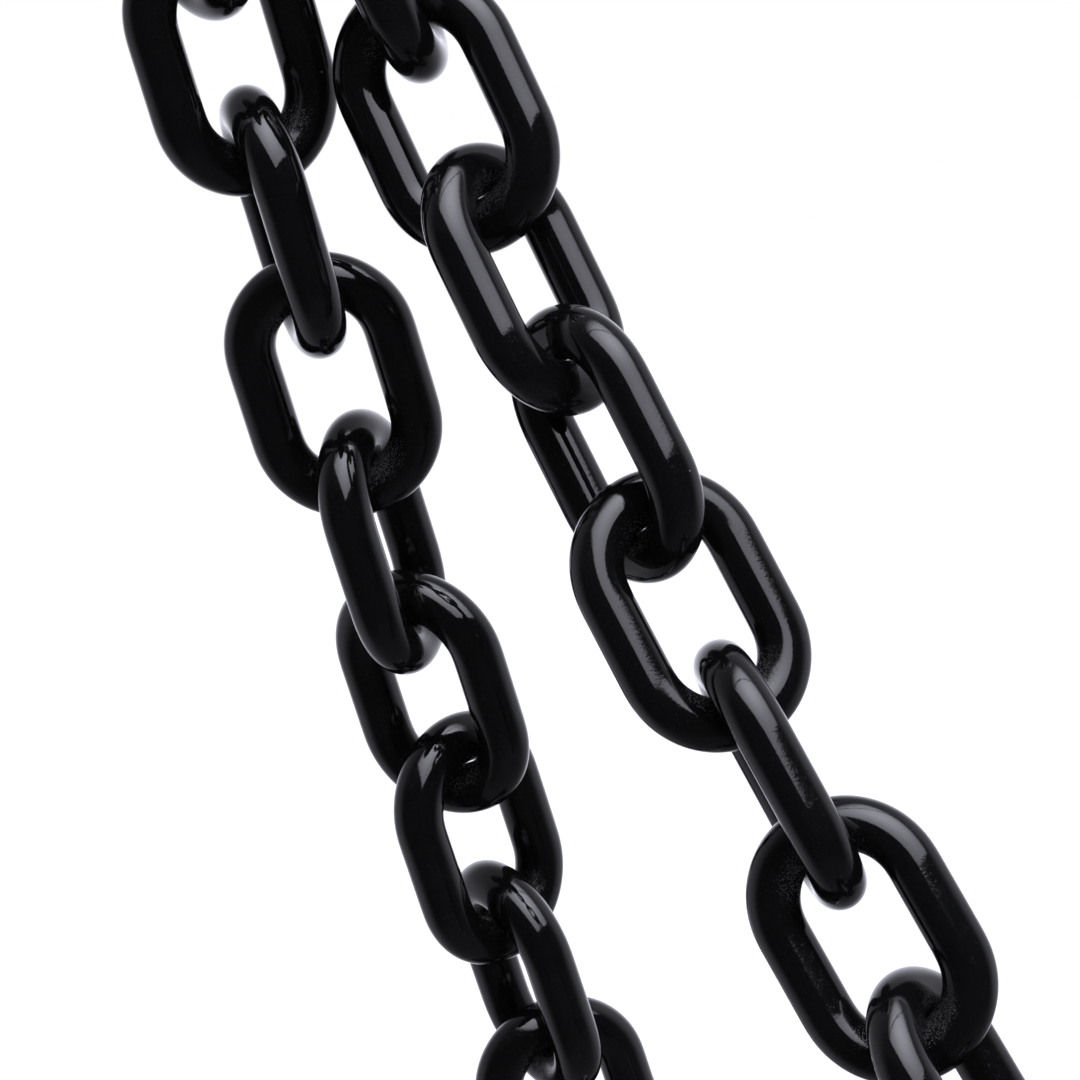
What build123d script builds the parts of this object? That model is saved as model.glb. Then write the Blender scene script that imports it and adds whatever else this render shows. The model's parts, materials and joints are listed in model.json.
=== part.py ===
from build123d import *
from math import cos, radians, sin
import os

# Lead chain of a small boat anchor: galvanised short-link chain in a glossy black vinyl coat,
# folded in two and hung by its middle link, with a bow shackle on each of its two ends.
# Frame: origin in the middle of the hang link, +Z up. The strands lean apart along X. Millimetres.

# Links
core_d = 8.0            # steel wire
coat_t = 0.75           # vinyl coat, all round
hole_l = 32.4           # inside length of a coated link
link_w = 35.3           # outside width of a coated link
gap = 0.4               # air between two crossing bars
strand_links = 13       # links on each side of the hang link

# How the chain hangs: lean (to +X), swing (to +Y) and roll of each link, in degrees. The links next to
# the hang link have their own poses. Below them every link differs from the last by the same step.
hang_pose = (0, 56, -16)
left_top = [(-1, 1, 90), (-7, 5, 1)]
left_next = (-14.6, -0.7, -89)
left_step = (0.15, 0.25, 75.5)
left_end = (-13, 2, 14)
right_top = [(0, -6, 62)]
right_next = (11.6, -2.4, -28.5)
right_step = (0.75, 0.7, 74)
right_end = (20, 5, -4)

# Bow shackles
bow_d = 8.0             # bar of the bow
jaw = 13.5              # between the ears
bow_in_w = 21.4         # inside width at the widest
bow_in_l = 31.0         # from the pin's centre to the inside of the bow
ear_d = 19.0
ear_t = 7.0
ear_round = 1.8
pin_d = 9.5
pin_play = 0.3          # round the pin in both ears
pin_lead = 3.0          # pin's tip beyond its ear
collar_d = 15.0
collar_t = 3.0
tab_w = 12.0
tab_l = 13.0
tab_t = 4.5
tab_hole_d = 4.5

wire_d = core_d + 2 * coat_t
bend_r = (link_w - wire_d) / 2
half_leg = (hole_l + wire_d) / 2 - bend_r
crown = (hole_l + wire_d) / 2
bow_r = (bow_in_w + bow_d) / 2
bow_centre = bow_in_l - bow_in_w / 2
bow_crown = bow_centre + bow_r
ear_x = (jaw + ear_t) / 2
bow_foot = ear_d / 2 - 1.5

os.makedirs("parts", exist_ok=True)


def pose(lean, swing, roll):
    """Plane of a link: Y up its length, X across it. Zero angles give a link in the XZ plane."""
    across_run = cos(radians(swing))
    down = Vector(sin(radians(lean)) * across_run, sin(radians(swing)), -cos(radians(lean)) * across_run)
    level = Vector(-down.Z, 0, down.X).normalized()
    side = level.cross(down)
    across = level * cos(radians(roll)) + side * sin(radians(roll))
    return Plane((0, 0, 0), x_dir=across, z_dir=across.cross(down * -1))


def hang(above, below, reach_above, reach_below, spacing):
    """Moves the plane below so that its top bar sits inside the bottom bar of the plane above."""
    normal = above.x_dir.cross(below.x_dir).normalized()
    if normal.dot(above.y_dir + below.y_dir) < 0:
        normal = normal * -1
    bar = above.origin - above.y_dir * reach_above
    origin = bar + normal * spacing - below.y_dir * reach_below
    return Plane(origin, x_dir=below.x_dir, z_dir=below.z_dir)


def strand(first_above, top, next_pose, step):
    """Planes of all links of one strand, from the hang link down."""
    poses = list(top)
    for n in range(strand_links - len(top)):
        poses.append(tuple(angle + n * change for angle, change in zip(next_pose, step)))
    planes = []
    above = first_above
    for angles in poses:
        above = hang(above, pose(*angles), crown, crown, wire_d + gap)
        planes.append(above)
    return planes


def ring(outer_d, inner_d):
    """A link's oval of round wire, or a tube of it, on the XY plane with its length along Y."""
    with BuildPart() as oval:
        with BuildLine() as route:
            Line((bend_r, -half_leg), (bend_r, half_leg))
            CenterArc((0, half_leg), bend_r, 0, 180)
            Line((-bend_r, half_leg), (-bend_r, -half_leg))
            CenterArc((0, -half_leg), bend_r, 180, 180)
        with BuildSketch(Plane((bend_r, -half_leg, 0), x_dir=(1, 0, 0), z_dir=(0, 1, 0))):
            Circle(outer_d / 2)
            if inner_d > 0:
                Circle(inner_d / 2, mode=Mode.SUBTRACT)
        sweep(path=route.wire())
    return oval.part


def shackle_bow():
    """Bow with its two ears, on the XY plane: the pin's hole along X at the origin, the bow towards +Y."""
    with BuildPart() as bow:
        with BuildLine() as route:
            arch = CenterArc((0, bow_centre), bow_r, -20, 220)
            Bezier((ear_x, bow_foot), (ear_x, bow_centre * 0.6), (arch @ 0) - (arch % 0) * 4, arch @ 0)
            Bezier((-ear_x, bow_foot), (-ear_x, bow_centre * 0.6), (arch @ 1) + (arch % 1) * 4, arch @ 1)
        with BuildSketch(Plane((ear_x, bow_foot, 0), x_dir=(1, 0, 0), z_dir=(0, 1, 0))):
            Circle(bow_d / 2)
        sweep(path=route.wire())
        for side in (-1, 1):
            with BuildSketch() as half_ear:
                with Locations((side * ear_x, ear_d / 4)):
                    Rectangle(ear_t, ear_d / 2)
                fillet(half_ear.vertices().group_by(Axis.Y)[-1], ear_round)
            revolve(axis=Axis.X)
        with BuildSketch(Plane.YZ.offset(-ear_x - ear_t)):
            Circle(pin_d / 2 + pin_play)
        extrude(amount=2 * (ear_x + ear_t), mode=Mode.SUBTRACT)
    return bow.part


def shackle_pin():
    """Screw pin through both ears along X, with a collar and a drilled tab at its +X end."""
    with BuildPart() as pin:
        tip = -(ear_x + ear_t / 2 + pin_lead)
        seat = ear_x + ear_t / 2 + pin_play
        with BuildSketch(Plane.YZ.offset(tip)):
            Circle(pin_d / 2)
        extrude(amount=seat - tip)
        chamfer(pin.faces().sort_by(Axis.X)[0].edges(), 1)
        with BuildSketch(Plane.YZ.offset(seat)):
            Circle(collar_d / 2)
        extrude(amount=collar_t)
        tab_x = seat + collar_t + tab_l - tab_w / 2
        with BuildSketch(Plane.XZ.offset(-tab_t / 2)):
            with Locations((tab_x / 2 + seat / 2, 0)):
                Rectangle(tab_x - seat, tab_w)
            with Locations((tab_x, 0)):
                Circle(tab_w / 2)
                Circle(tab_hole_d / 2, mode=Mode.SUBTRACT)
        extrude(amount=tab_t)
    return pin.part


def write(shape, plane, name):
    """Places one piece on its plane and writes it under its own name."""
    with BuildPart() as node:
        with Locations(plane.location):
            add(shape)
    node.part.label = name
    export_step(node.part, f"parts/{name}.step")


hang_plane = pose(*hang_pose)
upturned = Plane(hang_plane.origin, x_dir=hang_plane.x_dir, z_dir=hang_plane.z_dir * -1)
left_planes = strand(upturned, left_top, left_next, left_step)
right_planes = strand(hang_plane, right_top, right_next, right_step)

planes = {"hang_link": hang_plane}
for side, side_planes in (("left", left_planes), ("right", right_planes)):
    for n, plane in enumerate(side_planes, 1):
        planes[f"{side}_{n:02d}"] = plane

coating = ring(wire_d, core_d)
core = ring(core_d, 0)
for name, plane in planes.items():
    write(coating, plane, f"{name}_coating")
    write(core, plane, f"{name}_core")

bow = shackle_bow()
pin = shackle_pin()
for side, last, angles in (("left", left_planes[-1], left_end), ("right", right_planes[-1], right_end)):
    plane = hang(last, pose(*angles), crown, bow_crown, (wire_d + bow_d) / 2 + gap)
    write(bow, plane, f"{side}_shackle_bow")
    write(pin, plane, f"{side}_shackle_pin")
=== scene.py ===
import bpy
import json
import math
import numpy as np
from mathutils import Matrix, Vector


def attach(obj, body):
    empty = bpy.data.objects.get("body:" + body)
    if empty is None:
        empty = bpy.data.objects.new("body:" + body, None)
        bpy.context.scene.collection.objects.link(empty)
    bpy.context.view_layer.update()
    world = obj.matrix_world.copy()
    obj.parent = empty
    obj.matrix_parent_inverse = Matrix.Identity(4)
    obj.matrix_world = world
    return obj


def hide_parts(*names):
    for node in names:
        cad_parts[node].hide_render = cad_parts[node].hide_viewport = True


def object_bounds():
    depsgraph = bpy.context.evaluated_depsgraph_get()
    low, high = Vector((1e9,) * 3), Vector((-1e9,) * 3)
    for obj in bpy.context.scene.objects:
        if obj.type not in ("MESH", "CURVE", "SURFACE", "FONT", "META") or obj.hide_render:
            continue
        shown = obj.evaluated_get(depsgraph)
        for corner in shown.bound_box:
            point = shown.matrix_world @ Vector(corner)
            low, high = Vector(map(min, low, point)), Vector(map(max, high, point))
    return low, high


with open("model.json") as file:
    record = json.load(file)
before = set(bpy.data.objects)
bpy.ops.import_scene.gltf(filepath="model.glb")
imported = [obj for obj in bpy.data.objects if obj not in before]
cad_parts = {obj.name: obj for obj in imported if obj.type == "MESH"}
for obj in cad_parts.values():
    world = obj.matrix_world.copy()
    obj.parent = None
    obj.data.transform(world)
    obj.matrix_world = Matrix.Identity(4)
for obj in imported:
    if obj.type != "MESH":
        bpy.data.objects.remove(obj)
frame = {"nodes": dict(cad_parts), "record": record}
cad_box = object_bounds()

# ---------------------------------------------------------------- sizes, in metres
# A coated link
WIRE_R = 0.00475          # coated wire
BEND_R = 0.0129           # centre line of a link's bends
HALF_LEG = 0.00805        # half of the straight stretch between two bends
EASE = 0.0034             # the bar turns into its bend gradually, over this length each way
COAT_DIP = 0.00003        # how far the coat's thickness wanders inwards
COAT_SWELL = 0.00019      # how far the coat stands out where the next link's coat meets it
COAT_WAVES = ((2, 1), (3, 2), (5, 1), (7, 3))    # waves of thickness along the bar and around it
LINK_RINGS = 192
LINK_SIDES = 48
OVERSAMPLE = 8            # finer steps while a link's route is worked out

# A shackle, in its own frame: X along the pin, Y up the bow
BOW_BAR_R = 0.00392       # bar of the bow, a little slimmer than in CAD to clear the link at its limit
BOW_R = 0.0147            # centre line of the bow's arch
BOW_CENTRE = 0.0203       # arch's middle above the pin
ARCH_START = -20          # degrees from level at which the leg takes over from the arch
LEG_ROOT = 0.0055         # the leg's start above the pin
LEG_PULL = 0.004          # reach of the curve's handle below the arch
FLARE_LOW, FLARE_HIGH = 0.006, 0.013             # heights between which the bar flattens into its ear
FLARE_THIN, FLARE_WIDE = 0.0007, 0.0028          # how much thinner and wider it gets
EAR_X = 0.01025           # middle of an ear along the pin
EAR_R = 0.0095
EAR_T = 0.007
EAR_CORNER = 0.0018
EAR_HOLE_R = 0.00505
HOLE_CHAMFER = 0.0004
PIN_R = 0.00475
PIN_TIP = -0.01675
PIN_CHAMFER = 0.001
PIN_SEAT = 0.01405        # underside of the collar
COLLAR_R = 0.0075
COLLAR_T = 0.003
COLLAR_BEVEL = 0.0005
TAB_R = 0.006
TAB_END = 0.02404         # middle of the tab's round end
TAB_T = 0.0045
TAB_HOLE_R = 0.00225
TAB_BEVEL = 0.0007
TAB_ROOT = 0.0008         # how deep the tab starts inside the collar
THREAD_PITCH = 0.0015
THREAD_DEPTH = 0.0006
VOXEL = 0.00035           # grain of the forging's blended surface

# ---------------------------------------------------------------- camera and studio
AIM = Vector((0.0009, 0.0030, -0.1626))
VIEW_AZIMUTH, VIEW_ELEVATION, VIEW_ROLL = 69.26, 8.85, 22.07
VIEW_DISTANCE = 0.6256
LENS = 116.67

FLOOR_DROP = 0.012        # the floor's depth below the lowest point of the chain
FLOOR_HALF = 3.0

# The softbox is drawn on the plane that faces its middle: x to its side, y up, in units of its distance.
# An edge runs from the place where it is dark to the place where it is fully bright.
SOFTBOX_TURN, SOFTBOX_ELEVATION = 40, 45         # degrees, the first from the camera to its right
EDGES_X = ((-0.72, -0.58), (0.92, 0.55))
EDGES_Y = ((-0.572, -0.550), (1.0, 0.6))
SOFTBOX_STRENGTH = 2.4
STRUT_SLOPE, STRUT_LEVEL = 0.45, 0.575           # a dark strut crosses the box where y is level - slope * x
STRUT_CORE, STRUT_RIM, STRUT_LIGHT = 0.014, 0.028, 0.1
HOT_X, HOT_Y, HOT_STRENGTH = 0.12, 0.18, 4.2     # the lamp's bright patch inside the box
HOT_SHARP_X, HOT_SHARP_Y = 1.7, 1.9
LIGHT_COLOUR = (0.93, 0.937, 1.06, 1)

# ---------------------------------------------------------------- colours and bump heights
VINYL_DARK, VINYL_PALE = (0.0016, 0.0017, 0.0017, 1), (0.0034, 0.0035, 0.0035, 1)
VINYL_SCUFFED = (0.050, 0.050, 0.051, 1)
VINYL_DUST = (0.20, 0.20, 0.19, 1)
PEEL_HEIGHT, SWAY_HEIGHT, GRIT_HEIGHT = 0.0000085, 0.000018, 0.00003

ZINC_DARK, ZINC_PALE = (0.26, 0.27, 0.285, 1), (0.64, 0.65, 0.665, 1)
ZINC_STAINED = (0.22, 0.22, 0.215, 1)
ZINC_RUBBED = (0.74, 0.74, 0.735, 1)
ROUGH_HEIGHT, LUMP_HEIGHT, FACET_HEIGHT = 0.00002, 0.00010, 0.000006


def direction(azimuth, elevation):
    """Unit vector from the object towards a place: azimuth 0 is -Y and 90 is +X."""
    a, e = math.radians(azimuth), math.radians(elevation)
    return Vector((math.sin(a) * math.cos(e), -math.cos(a) * math.cos(e), math.sin(e)))


def make_camera():
    back = direction(VIEW_AZIMUTH, VIEW_ELEVATION)
    right = Vector((0, 0, 1)).cross(back).normalized()
    up = back.cross(right)
    roll = math.radians(VIEW_ROLL)
    tilted_up = up * math.cos(roll) + right * math.sin(roll)
    tilted_right = right * math.cos(roll) - up * math.sin(roll)
    data = bpy.data.cameras.new("camera")
    data.lens = LENS
    data.sensor_width = 36
    data.clip_start, data.clip_end = 0.01, 50
    camera = bpy.data.objects.new("camera", data)
    axes = Matrix((tilted_right, tilted_up, back)).transposed()
    camera.matrix_world = Matrix.Translation(AIM + back * VIEW_DISTANCE) @ axes.to_4x4()
    bpy.context.scene.collection.objects.link(camera)
    bpy.context.scene.camera = camera


# ---------------------------------------------------------------- shader helpers
class Shader:
    """Short names for building a node tree."""

    def __init__(self, tree):
        self.tree = tree

    def node(self, kind, **inputs):
        made = self.tree.nodes.new(kind)
        for key, value in inputs.items():
            self.put(made.inputs[key], value)
        return made

    def put(self, socket, value):
        if isinstance(value, bpy.types.NodeSocket):
            self.tree.links.new(value, socket)
        else:
            socket.default_value = value

    def math(self, operation, *values, clamp=False):
        made = self.tree.nodes.new("ShaderNodeMath")
        made.operation = operation
        made.use_clamp = clamp
        for socket, value in zip(made.inputs, values):
            self.put(socket, value)
        return made.outputs[0]

    def times(self, first, *more):
        for value in more:
            first = self.math("MULTIPLY", first, value)
        return first

    def plus(self, first, *more):
        for value in more:
            first = self.math("ADD", first, value)
        return first

    def dot(self, vector, constant):
        made = self.tree.nodes.new("ShaderNodeVectorMath")
        made.operation = "DOT_PRODUCT"
        self.put(made.inputs[0], vector)
        made.inputs[1].default_value = constant
        return made.outputs["Value"]

    def ramp(self, value, start, end, low=0.0, high=1.0):
        """A smooth step from low at start to high at end."""
        made = self.tree.nodes.new("ShaderNodeMapRange")
        made.interpolation_type = "SMOOTHSTEP"
        for socket, v in zip(made.inputs, (value, start, end, low, high)):
            self.put(socket, v)
        return made.outputs[0]

    def mix(self, share, a, b):
        made = self.tree.nodes.new("ShaderNodeMix")
        made.data_type = "RGBA"
        self.put(made.inputs[0], share)
        self.put(made.inputs[6], a)
        self.put(made.inputs[7], b)
        return made.outputs[2]

    def noise(self, scale, detail, rough, place):
        made = self.node("ShaderNodeTexNoise", Scale=scale, Detail=detail, Roughness=rough, Vector=place)
        return made.outputs["Fac"]

    def cells(self, scale, place):
        """Distance from the middle of a Voronoi cell, and the cell's own random colour."""
        made = self.node("ShaderNodeTexVoronoi", Vector=place, Scale=scale)
        return made.outputs["Distance"], made.outputs["Color"]

    def rubbed(self):
        """How much a piece's surface is rubbed at a point, from the mesh."""
        made = self.node("ShaderNodeAttribute")
        made.attribute_name = "rubbed"
        return made.outputs["Fac"]

    def bump(self, skin, height):
        made = self.node("ShaderNodeBump", Height=height, Distance=1.0, Strength=1.0)
        self.put(skin.inputs["Normal"], made.outputs["Normal"])


# ---------------------------------------------------------------- studio
def softbox_light(s, way):
    """A large rectangle of light with soft edges, a bright patch and one thin dark strut."""
    out = direction(VIEW_AZIMUTH + SOFTBOX_TURN, SOFTBOX_ELEVATION)
    across = Vector((0, 0, 1)).cross(out).normalized()
    up = out.cross(across)
    facing = s.dot(way, out)
    safe = s.math("MAXIMUM", facing, 0.05)      # the plane ends before its horizon
    x = s.math("DIVIDE", s.dot(way, across), safe)
    y = s.math("DIVIDE", s.dot(way, up), safe)
    box = s.ramp(facing, 0.1, 0.2)
    for value, edges in ((x, EDGES_X), (y, EDGES_Y)):
        for dark, bright in edges:
            box = s.times(box, s.ramp(value, dark, bright))
    strut = s.math("ABSOLUTE", s.plus(y, s.math("MULTIPLY_ADD", x, STRUT_SLOPE, -STRUT_LEVEL)))
    box = s.times(box, s.ramp(strut, STRUT_CORE, STRUT_RIM, STRUT_LIGHT, 1.0))
    dx = s.times(s.math("SUBTRACT", x, HOT_X), HOT_SHARP_X)
    dy = s.times(s.math("SUBTRACT", y, HOT_Y), HOT_SHARP_Y)
    hot = s.math("EXPONENT", s.times(s.plus(s.times(dx, dx), s.times(dy, dy)), -1.0))
    return s.times(box, s.math("MULTIPLY_ADD", hot, HOT_STRENGTH, SOFTBOX_STRENGTH))


def studio_light(s, way):
    """The pale studio behind the object, and the little light that comes from everywhere else.

    The studio is brightest straight behind, fades below and overhead, and is stronger on the right.
    """
    ahead = direction(VIEW_AZIMUTH, 0)
    right = Vector((0, 0, 1)).cross(ahead)
    height = s.dot(way, (0, 0, 1))
    away = s.times(s.dot(way, ahead), -1.0)
    backdrop = s.times(
        s.plus(s.ramp(away, -0.35, 0.3, 0.0, 0.40), s.ramp(away, 0.62, 1.05, 0.0, 0.9)),
        s.ramp(height, -0.95, -0.35, 0.05, 1.0),
        s.ramp(height, 0.9, 0.2, 0.45, 1.0),
        s.ramp(s.dot(way, right), -0.2, 0.9, 1.0, 1.5),
    )
    dim = s.plus(s.ramp(height, 0.45, 0.75, 0.03, 0.08), s.ramp(height, -0.5, -0.85, 0.0, 0.05))
    return s.plus(backdrop, dim)


def make_world():
    """A softbox high on the camera's right and a pale studio, seen as plain white by the camera."""
    world = bpy.data.worlds.new("studio")
    bpy.context.scene.world = world
    world.use_nodes = True
    s = Shader(world.node_tree)
    s.tree.nodes.clear()
    way = s.node("ShaderNodeTexCoord").outputs["Generated"]
    strength = s.plus(softbox_light(s, way), studio_light(s, way))
    lit = s.node("ShaderNodeBackground", Color=LIGHT_COLOUR, Strength=strength)
    white = s.node("ShaderNodeBackground", Color=(1, 1, 1, 1), Strength=1.0)
    both = s.tree.nodes.new("ShaderNodeMixShader")
    s.put(both.inputs[0], s.node("ShaderNodeLightPath").outputs["Is Camera Ray"])
    s.put(both.inputs[1], lit.outputs[0])
    s.put(both.inputs[2], white.outputs[0])
    end = s.tree.nodes.new("ShaderNodeOutputWorld")
    s.put(end.inputs["Surface"], both.outputs[0])


def new_material(name):
    material = bpy.data.materials.new(name)
    material.use_nodes = True
    s = Shader(material.node_tree)
    return material, s, s.tree.nodes["Principled BSDF"]


def make_floor():
    """A plain pale floor that the glossy links don't mirror."""
    low, half = cad_box[0].z - FLOOR_DROP, FLOOR_HALF
    corners = [(-half, -half, low), (half, -half, low), (half, half, low), (-half, half, low)]
    mesh = bpy.data.meshes.new("floor")
    mesh.from_pydata(corners, [], [(0, 1, 2, 3)])
    material, _, skin = new_material("floor")
    skin.inputs["Base Color"].default_value = (0.9, 0.9, 0.9, 1)
    skin.inputs["Roughness"].default_value = 0.9
    mesh.materials.append(material)
    floor = bpy.data.objects.new("floor", mesh)
    bpy.context.scene.collection.objects.link(floor)
    floor.visible_glossy = False


# ---------------------------------------------------------------- materials
def vinyl_material():
    """Glossy black vinyl with a faint orange peel, dull grains where links rub, and dust specks."""
    material, s, skin = new_material("black_vinyl")
    place = s.node("ShaderNodeTexCoord").outputs["Object"]

    # Grains of scuffed vinyl: close together in the middle of a rubbed patch, single ones at its edge.
    from_grain, grain = s.cells(5400.0, place)
    wear = s.times(s.rubbed(), s.ramp(s.noise(48, 1.0, 0.5, place), 0.38, 0.62, 0.55, 1.0))
    crowd = s.math("MULTIPLY_ADD", s.noise(480, 4.0, 0.7, place), 0.9, s.times(wear, 0.72))
    scuffed = s.ramp(s.plus(grain, crowd), 1.08, 1.62)
    worn = s.times(scuffed, s.ramp(from_grain, 0.65, 0.25), s.ramp(wear, 0.02, 0.30))

    # Duller pores in the gloss, in patches over the whole link.
    pores = s.times(
        s.ramp(grain, 0.62, 0.9),
        s.ramp(from_grain, 0.6, 0.3),
        s.ramp(s.noise(650, 3.0, 0.6, place), 0.40, 0.62),
    )

    # A speck of dust in the middle of a few of the larger cells.
    from_speck, speck = s.cells(310.0, place)
    dust = s.times(s.ramp(from_speck, 0.045, 0.028), s.ramp(speck, 0.90, 0.93))

    tint = s.mix(s.noise(90, 3.0, 0.5, place), VINYL_DARK, VINYL_PALE)
    tint = s.mix(worn, tint, VINYL_SCUFFED)
    s.put(skin.inputs["Base Color"], s.mix(dust, tint, VINYL_DUST))

    gloss = s.ramp(s.noise(260, 4.0, 0.6, place), 0.3, 0.7, 0.036, 0.072)
    gloss = s.plus(gloss, s.times(wear, 0.08), s.times(pores, 0.34), s.times(worn, 0.36))
    s.put(skin.inputs["Roughness"], s.math("ADD", gloss, s.times(dust, 0.5), clamp=True))
    skin.inputs["IOR"].default_value = 1.5

    peel = s.times(s.noise(1700, 2.0, 0.6, place), PEEL_HEIGHT)
    sway = s.times(s.noise(120, 1.0, 0.5, place), SWAY_HEIGHT)
    s.bump(skin, s.plus(peel, sway, s.times(worn, GRIT_HEIGHT)))
    return material


def steel_material():
    """Hot-dip galvanised steel: grey spangles and darker stains, brighter where it rubs."""
    material, s, skin = new_material("galvanised_steel")
    place = s.node("ShaderNodeTexCoord").outputs["Object"]
    _, spangle = s.cells(520.0, place)
    cloud = s.noise(240, 4.0, 0.6, place)
    share = s.math("MULTIPLY_ADD", cloud, 0.6, s.times(spangle, 0.4))
    stain = s.ramp(s.noise(130, 5.0, 0.7, place), 0.56, 0.70)
    scratch = s.ramp(s.noise(2600, 2.0, 0.7, place), 0.45, 0.65)
    bright = s.times(s.rubbed(), s.math("MULTIPLY_ADD", scratch, 0.5, 0.5))

    tint = s.mix(share, ZINC_DARK, ZINC_PALE)
    tint = s.mix(s.times(stain, 0.55), tint, ZINC_STAINED)
    s.put(skin.inputs["Base Color"], s.mix(bright, tint, ZINC_RUBBED))

    dull = s.plus(s.ramp(share, 0.2, 0.8, 0.55, 0.36), s.times(stain, 0.15))
    s.put(skin.inputs["Roughness"], s.math("SUBTRACT", dull, s.times(bright, 0.20), clamp=True))
    skin.inputs["Metallic"].default_value = 1.0

    rough = s.times(s.noise(1700, 3.0, 0.6, place), ROUGH_HEIGHT)
    s.bump(skin, s.plus(rough, s.times(cloud, LUMP_HEIGHT), s.times(spangle, FACET_HEIGHT)))
    return material


# ---------------------------------------------------------------- mesh helpers
def smooth(x, start, end):
    """A smooth step from 0 at start to 1 at end."""
    t = np.clip((x - start) / (end - start), 0, 1)
    return t * t * (3 - 2 * t)


def turns_of(count):
    """Angles of a ring of points."""
    return np.arange(count) / count * 2 * math.pi


def grid_faces(rows, columns, first=0, wrap_rows=False):
    """Quads of a tube whose rings have the given number of columns."""
    faces = []
    for i in range(rows if wrap_rows else rows - 1):
        here, there = first + i * columns, first + (i + 1) % rows * columns
        for k in range(columns):
            m = (k + 1) % columns
            faces.append((here + k, here + m, there + m, there + k))
    return faces


def tube_faces(rows, columns):
    """A tube's quads, with a cap on each end."""
    faces = grid_faces(rows, columns)
    faces.append(tuple(range(columns))[::-1])
    faces.append(tuple(range((rows - 1) * columns, rows * columns)))
    return faces


def numbers_of(collection, name, kind):
    """A vertex's or a triangle's three numbers for each entry of a mesh collection."""
    values = np.empty(len(collection) * 3, kind)
    collection.foreach_get(name, values)
    return values.reshape(-1, 3)


def set_rubbed(mesh, values):
    rubbed = mesh.attributes.new("rubbed", "FLOAT", "POINT")
    rubbed.data.foreach_set("value", values.astype(np.float32))


def add_mesh(name, co, faces, material):
    mesh = bpy.data.meshes.new(name)
    mesh.from_pydata(np.asarray(co).tolist(), [], faces)
    mesh.polygons.foreach_set("use_smooth", [True] * len(mesh.polygons))
    mesh.materials.append(material)
    made = bpy.data.objects.new(name, mesh)
    bpy.context.scene.collection.objects.link(made)
    return made


# ---------------------------------------------------------------- links
def axes_of(node):
    """Centre of a CAD node and its axes: shortest, middle and longest extent."""
    mesh = frame["nodes"][node].data
    mesh.calc_loop_triangles()
    co = numbers_of(mesh.vertices, "co", float)
    corners = numbers_of(mesh.loop_triangles, "vertices", int)
    a, b, c = (co[corners[:, k]] for k in range(3))
    area = np.linalg.norm(np.cross(b - a, c - a), axis=1) / 2
    middle = ((a + b + c) / 3 * area[:, None]).sum(0) / area.sum()
    a, b, c = a - middle, b - middle, c - middle
    spread = sum(np.einsum("n,ni,nj->ij", area, p, p) for p in (a, b, c, a + b + c))
    axes = np.linalg.eigh(spread)[1]
    return middle, axes[:, 0], axes[:, 1], axes[:, 2]


def link_route():
    """Points round a link's centre line, their outward directions, and how near they are to a bend's middle.

    Nearness is 1 in the middle of a bend and 0 on a leg. The bar turns into its bends gradually: the
    outward direction is averaged over EASE each way.
    """
    leg, arc = 2 * HALF_LEG, math.pi * BEND_R
    length = 2 * (leg + arc)
    fine = OVERSAMPLE * LINK_RINGS
    s = np.arange(fine) / fine * length
    half = s % (length / 2)
    angle = np.where(s < length / 2, 0, math.pi) + np.clip((half - leg) / BEND_R, 0, math.pi)
    drift = angle - 2 * math.pi * s / length
    reach = int(EASE / length * fine)
    window = np.hanning(2 * reach + 3)[1:-1]
    around_again = np.concatenate([drift[-reach:], drift, drift[:reach]])
    angle = np.convolve(around_again, window / window.sum(), "valid") + 2 * math.pi * s / length
    outs = np.stack([np.cos(angle), np.sin(angle)], 1)
    steps = np.stack([-outs[:, 1], outs[:, 0]], 1) * (length / fine)
    points = np.cumsum(steps, axis=0) - steps / 2
    points -= points.mean(axis=0)
    points *= np.array([BEND_R, HALF_LEG + BEND_R]) / np.abs(points).max(axis=0)
    outs = outs[::OVERSAMPLE]
    return points[::OVERSAMPLE], outs, np.abs(outs[:, 1])


def coat_radius(crowns, inwards, rng):
    """Radius of the coat round the bar: it wanders a little, and stands out where the next link sits."""
    u, v = turns_of(LINK_RINGS), turns_of(LINK_SIDES)
    wander = np.zeros((LINK_RINGS, LINK_SIDES))
    for waves_u, waves_v in COAT_WAVES:
        shift = rng.uniform(0, 2 * math.pi, 2)
        wave = np.sin(waves_u * u[:, None] + shift[0]) * np.cos(waves_v * v[None] + shift[1])
        wander += wave / len(COAT_WAVES)
    # The seat is a small patch in the middle of a bend, on its inner side.
    seat = smooth(crowns, 0.80, 0.995)[:, None] * smooth(inwards, 0.72, 0.99)[None]
    return WIRE_R - COAT_DIP * (0.5 + 0.5 * wander) + COAT_SWELL * seat


def make_link(name, node, vinyl, seed):
    """A link's coat as a new mesh round its CAD node, with how rubbed it is inside each bend."""
    rng = np.random.default_rng(seed)
    middle, thin, wide, long = axes_of(node)
    points, outs, crowns = link_route()
    v = turns_of(LINK_SIDES)
    inwards = -np.cos(v)
    radius = coat_radius(crowns, inwards, rng)
    plane = points[:, None, :] + outs[:, None, :] * (radius * np.cos(v))[..., None]
    co = middle + plane[..., :1] * wide + plane[..., 1:] * long + (radius * np.sin(v))[..., None] * thin
    quads = grid_faces(LINK_RINGS, LINK_SIDES, wrap_rows=True)
    link = add_mesh(name, co.reshape(-1, 3), [(a, d, c, b) for a, b, c, d in quads], vinyl)
    if np.dot(np.cross(wide, long), thin) > 0:
        link.data.flip_normals()

    # The bend that carries the chain below rubs harder than the one that hangs on the link above.
    upper = points[:, 1] * long[2] > 0
    strength = np.where(upper, rng.uniform(0.45, 0.75), rng.uniform(0.75, 1.0))
    rubbed = (strength * smooth(crowns, 0.10, 0.98))[:, None] * smooth(inwards, -0.12, 0.95)[None]
    set_rubbed(link.data, rubbed.ravel())
    return link


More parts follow.
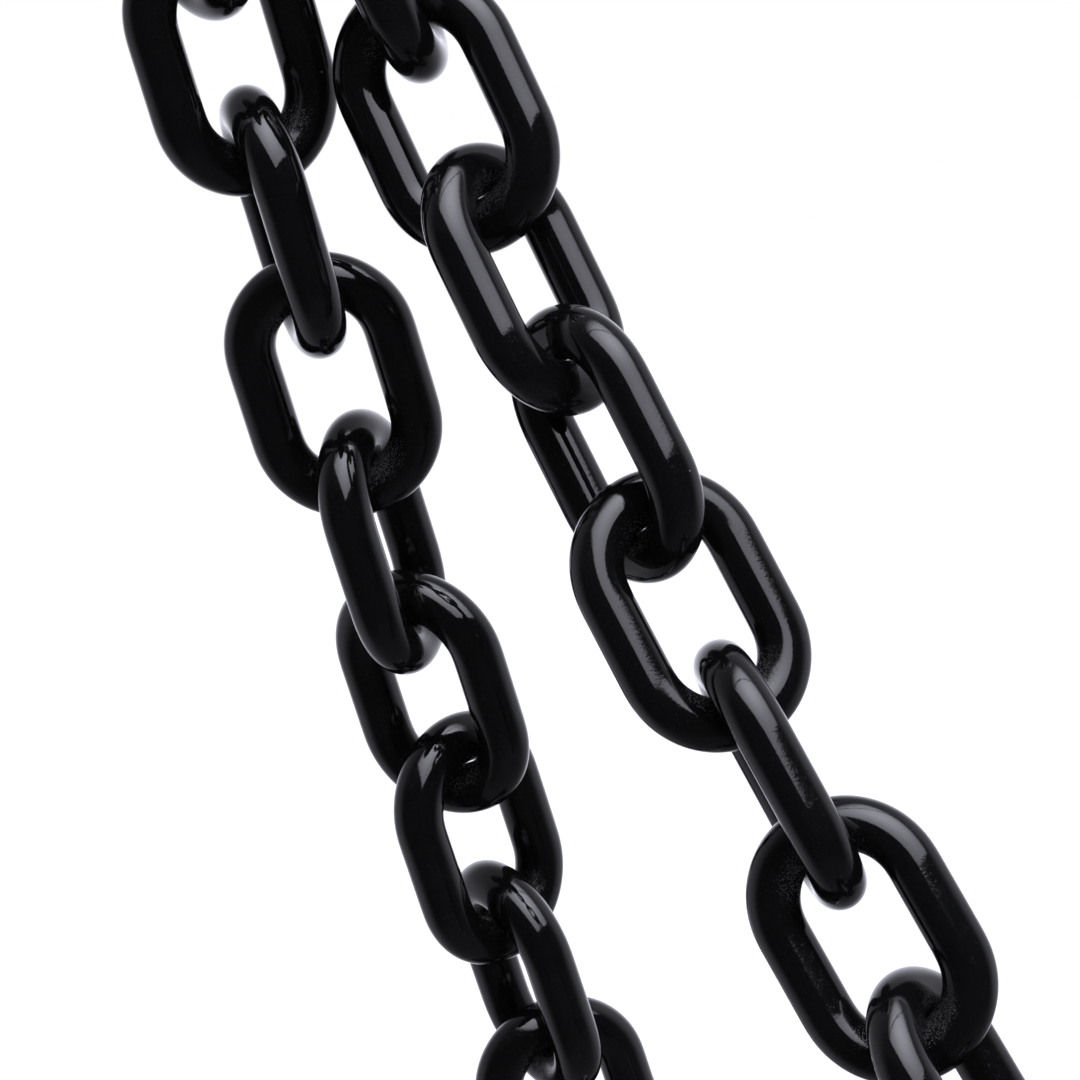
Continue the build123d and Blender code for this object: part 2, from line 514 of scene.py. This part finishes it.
def make_links(vinyl):
    names = [n for n in frame["nodes"] if n.endswith("_coating")]
    for seed, node in enumerate(sorted(names)):
        body = node.removesuffix("_coating")
        skin = make_link(f"{body}_skin", node, vinyl, seed)
        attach(skin, body)
        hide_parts(node)


# ---------------------------------------------------------------- shackle bow
def bezier(points, count):
    a, b, c, d = (np.array(p) for p in points)
    t = (np.arange(count) / (count - 1))[:, None]
    return a * (1 - t) ** 3 + 3 * b * t * (1 - t) ** 2 + 3 * c * t**2 * (1 - t) + d * t**3


def bow_route():
    """Centre line of the bow in its own plane, from one ear over the arch to the other."""
    turn = np.radians(np.linspace(ARCH_START, 90, 34))
    arch = np.stack([BOW_R * np.cos(turn), BOW_CENTRE + BOW_R * np.sin(turn)], 1)
    along = np.array([-math.sin(turn[0]), math.cos(turn[0])])
    handles = (EAR_X, BOW_CENTRE * 0.6), arch[0] - along * LEG_PULL
    leg = bezier([(EAR_X, LEG_ROOT), *handles, arch[0]], 16)
    half = np.concatenate([leg[:-1], arch])
    return np.concatenate([half, (half * (-1, 1))[::-1][1:]])


def bow_shell():
    """Bar of the bow as a tube that flattens and widens into each ear."""
    around = 40
    line = bow_route()
    along = np.gradient(line, axis=0)
    along /= np.linalg.norm(along, axis=1)[:, None]
    side = np.stack([-along[:, 1], along[:, 0]], 1)
    v = turns_of(around)
    flare = 1 - smooth(line[:, 1], FLARE_LOW, FLARE_HIGH)
    in_plane = BOW_BAR_R - FLARE_THIN * flare
    across = BOW_BAR_R + FLARE_WIDE * flare
    co = np.zeros((len(line), around, 3))
    co[..., :2] = line[:, None] + side[:, None] * (in_plane[:, None] * np.cos(v))[..., None]
    co[..., 2] = across[:, None] * np.sin(v)
    return list(map(tuple, co.reshape(-1, 3))), tube_faces(len(line), around)


def ear_shell(middle_x, first):
    """A rounded eye about X with the pin's hole through it."""
    around = 64
    half, corner = EAR_T / 2, EAR_CORNER
    turn = np.linspace(0, math.pi / 2, 7)
    rim = [(half - corner + corner * math.sin(t), EAR_R - corner + corner * math.cos(t)) for t in turn]
    edge = [(half, EAR_HOLE_R + HOLE_CHAMFER), (half - HOLE_CHAMFER, EAR_HOLE_R)]
    profile = rim + edge
    profile += [(-x, r) for x, r in reversed(profile)]
    co = [(middle_x + x, r * math.cos(t), r * math.sin(t)) for x, r in profile for t in turns_of(around)]
    return co, grid_faces(len(profile), around, first, wrap_rows=True)


def forge(made):
    """Blends a piece's overlapping shells into one forged skin."""
    blend = made.modifiers.new("blend", "REMESH")
    blend.mode = "VOXEL"
    blend.voxel_size = VOXEL
    blend.use_smooth_shade = True
    soften = made.modifiers.new("soften", "SMOOTH")
    soften.factor, soften.iterations = 0.5, 12
    bpy.context.view_layer.update()
    finished = bpy.data.meshes.new_from_object(made.evaluated_get(bpy.context.evaluated_depsgraph_get()))
    made.modifiers.clear()
    made.data = finished


def make_bow(name, steel):
    """The forged bow with its two ears, rubbed where the link hangs in it and round the pin's holes."""
    co, faces = bow_shell()
    for middle_x in (-EAR_X, EAR_X):
        more, more_faces = ear_shell(middle_x, len(co))
        co += more
        faces += more_faces
    bow = add_mesh(name, co, faces, steel)
    forge(bow)
    co = numbers_of(bow.data.vertices, "co", float)
    seat = np.array([0, BOW_CENTRE + BOW_R - BOW_BAR_R, 0])
    from_seat = np.linalg.norm(co - seat, axis=1)
    from_pin = np.hypot(co[:, 1], co[:, 2])
    seat_edge, seat_core, hole_edge, hole_core, ear_top = 0.0075, 0.002, 0.0016, 0.0003, 0.008
    rim = smooth(from_pin, EAR_HOLE_R + hole_edge, EAR_HOLE_R + hole_core) * (co[:, 1] < ear_top)
    set_rubbed(bow.data, np.maximum(smooth(from_seat, seat_edge, seat_core), 0.7 * rim))
    return bow


# ---------------------------------------------------------------- shackle pin
def pin_rows():
    """The pin's profile: place along X, radius, and the share of its full depth that the thread has there."""
    # The thread fills the far ear and runs out at its inner face.
    thread_end, run_out, step = -EAR_X + EAR_T / 2, 0.0015, THREAD_PITCH / 12
    rows = [(PIN_TIP, PIN_R - PIN_CHAMFER, 0.0)]
    for x in np.arange(PIN_TIP + PIN_CHAMFER, thread_end + 0.001, step):
        rows.append((x, PIN_R, float(smooth(x, thread_end, thread_end - run_out))))
    rows += [(x, PIN_R, 0.0) for x in np.linspace(thread_end + 0.0012, PIN_SEAT - 0.0006, 8)]

    # A small fillet leads into the collar, whose two edges are bevelled.
    seat, top, bevel = PIN_SEAT, PIN_SEAT + COLLAR_T, COLLAR_BEVEL
    rows += [(seat - 0.0002, PIN_R + 0.0001, 0.0), (seat, PIN_R + 0.0004, 0.0), (seat, COLLAR_R - bevel, 0.0)]
    rows += [(seat + 0.3 * bevel, COLLAR_R - 0.3 * bevel, 0.0), (seat + bevel, COLLAR_R, 0.0)]
    rows += [(top - 2 * bevel, COLLAR_R, 0.0), (top - 0.6 * bevel, COLLAR_R - 0.5 * bevel, 0.0)]
    return rows + [(top, COLLAR_R - 2 * bevel, 0.0)]


def pin_shank():
    """Pin with its chamfered tip, helical thread and collar, and how rubbed it is: bright on the crests."""
    around = 64
    v = turns_of(around)
    rows = pin_rows()
    co, worn = [], []
    for x, r, share in rows:
        # The groove is a trapezium along the pin: a flat crest, two flanks and a narrow flat root.
        turns = (x / THREAD_PITCH - v / (2 * math.pi)) % 1
        groove = np.clip(1.15 * (1 - np.abs(2 * turns - 1)) - 0.1, 0, 1)
        radius = r - THREAD_DEPTH * share * groove
        co += [(x, a * math.cos(t), a * math.sin(t)) for a, t in zip(radius, v)]
        worn += list(share * (1 - groove) * 0.9)
    return co, tube_faces(len(rows), around), worn


def tab_shell(first):
    """Flat tab with a round end and a drilled hole, every edge rounded."""
    count, bevel = 72, TAB_BEVEL
    start = PIN_SEAT + COLLAR_T - TAB_ROOT
    root = TAB_END - PIN_SEAT - COLLAR_T + TAB_ROOT
    outline, hole = [], []
    for k in range(count):
        t = 2 * math.pi * k / count
        c, s = math.cos(t), math.sin(t)
        hole.append((TAB_END + c * TAB_HOLE_R, s * TAB_HOLE_R))
        if c >= 0:
            outline.append((TAB_END + TAB_R * c, TAB_R * s))
        else:
            reach = min(TAB_R / max(abs(s), 1e-6), root / -c)
            outline.append((max(TAB_END + reach * c, start), reach * s))
    outline, hole = np.array(outline), np.array(hole)
    inward = hole - outline
    inward /= np.linalg.norm(inward, axis=1)[:, None]
    turn = np.linspace(0, math.pi / 2, 5)
    flat = TAB_T / 2 - bevel
    upper = [(outline + inward * bevel * (1 - math.cos(t)), flat + bevel * math.sin(t)) for t in turn]
    upper += [(hole - inward * bevel * (1 - math.cos(t)), flat + bevel * math.sin(t)) for t in turn[::-1]]
    rings = upper + [(ring, -z) for ring, z in reversed(upper)]
    co = [(x, -z, y) for ring, z in rings for x, y in ring]
    faces = [face[::-1] for face in grid_faces(len(rings), count, first, wrap_rows=True)]
    return co, faces


def make_pin(name, steel):
    co, faces, worn = pin_shank()
    more, more_faces = tab_shell(len(co))
    pin = add_mesh(name, co + more, faces + more_faces, steel)
    set_rubbed(pin.data, np.array(worn + [0.0] * len(more)))
    return pin


# ---------------------------------------------------------------- shackles in place
def named(entries, name):
    return next(entry for entry in entries if entry["name"] == name)


def shackle_place(side):
    """A shackle's own frame from the record: origin on the pin, X along it towards the tab, Y up the bow."""
    record = frame["record"]
    jaw = named(record["mounts"], f"{side}_shackle_jaw")
    slide = named(record["behaviour"]["joints"], f"{side}_shackle_pin_slide")
    x = Vector(slide["axis"]).normalized()
    y = -Vector(jaw["axis"]).normalized()
    return Matrix.Translation(Vector(jaw["pos_m"])) @ Matrix((x, y, x.cross(y))).transposed().to_4x4()


def make_shackles(steel):
    for side in ("left", "right"):
        place = shackle_place(side)
        bow = make_bow(f"{side}_shackle_bow_forging", steel)
        pin = make_pin(f"{side}_shackle_screw_pin", steel)
        for made, body, node in (
            (bow, f"{side}_shackle", f"{side}_shackle_bow"),
            (pin, f"{side}_shackle_pin", f"{side}_shackle_pin"),
        ):
            made.data.transform(place)
            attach(made, body)
            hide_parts(node)


# ---------------------------------------------------------------- build
bpy.context.scene.view_settings.view_transform = "Standard"
make_camera()
make_world()
make_floor()
vinyl = vinyl_material()
steel = steel_material()
make_links(vinyl)
make_shackles(steel)
for name, node in frame["nodes"].items():
    if not name.endswith("_coating"):
        node.data.materials.clear()
        node.data.materials.append(steel)
